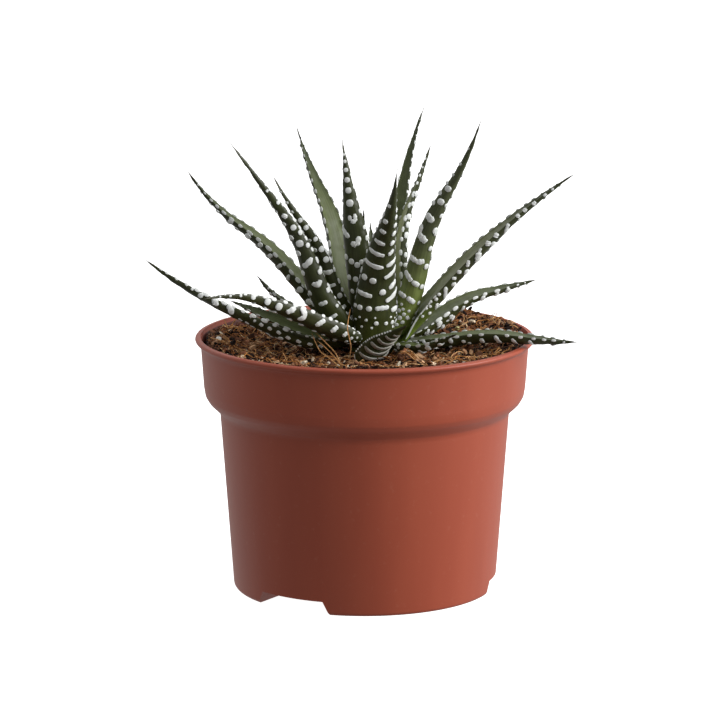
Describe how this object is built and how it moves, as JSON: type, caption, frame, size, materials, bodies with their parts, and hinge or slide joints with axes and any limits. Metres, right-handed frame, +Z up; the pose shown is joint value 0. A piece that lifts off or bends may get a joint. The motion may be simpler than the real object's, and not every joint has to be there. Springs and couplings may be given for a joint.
{
  "type": "potted haworthia",
  "caption": "Rosette succulent with dark pointed leaves and raised white cross bands, rooted in coir mix in a round terracotta-coloured plastic pot with drainage channels in its foot.",
  "frame": {"origin": "centre of the pot's foot, on the surface that it stands on", "axes": "+Z up along the pot's axis, -Y towards the plant's front, +X to its right seen from the front"},
  "size_m": [0.1483, 0.12, 0.171],
  "materials": {
    "pot_plastic": "moulded terracotta-coloured polypropylene, satin",
    "potting_mix": "moist coir and bark crumbs, rough",
    "coir_fibre": "dry coir fibres and a few pale roots",
    "stem_tissue": "pale green living tissue",
    "leaf_skin": "dark green leaf skin, satin, grey-green inside",
    "leaf_tubercle": "raised white warts and bands, matte",
    "perlite": "expanded perlite, chalky",
    "prill_resin": "coated fertiliser prill, glossy"
  },
  "bodies": {
    "root": {"pot": "pot_plastic", "potting_mix": "potting_mix", "stem": "stem_tissue", "leaf_heart": "leaf_skin", "leaf_heart_back": "leaf_skin", "leaf_front_centre": "leaf_skin", "leaf_front_left": "leaf_skin", "leaf_back_left": "leaf_skin", "leaf_back_right": "leaf_skin", "leaf_right_upright": "leaf_skin", "leaf_right_tall": "leaf_skin", "leaf_left_inner": "leaf_skin", "leaf_left_tall": "leaf_skin", "leaf_right_long": "leaf_skin", "leaf_left_long": "leaf_skin", "leaf_left_arched": "leaf_skin", "leaf_left_low": "leaf_skin", "leaf_left_low_inner": "leaf_skin", "leaf_left_short": "leaf_skin", "leaf_right_short": "leaf_skin", "leaf_right_low": "leaf_skin", "leaf_right_back_small": "leaf_skin", "leaf_front_right_small": "leaf_skin", "leaf_back_upright": "leaf_skin", "leaf_back_low": "leaf_skin", "leaf_back_right_low": "leaf_skin", "leaf_back_left_low": "leaf_skin", "leaf_front_small": "leaf_skin", "perlite_grain_1": "perlite", "perlite_grain_2": "perlite", "perlite_grain_3": "perlite", "perlite_grain_4": "perlite", "perlite_grain_5": "perlite", "fertiliser_prill_1": "prill_resin", "fertiliser_prill_2": "prill_resin", "fertiliser_prill_3": "prill_resin"}
  },
  "joints": []
}
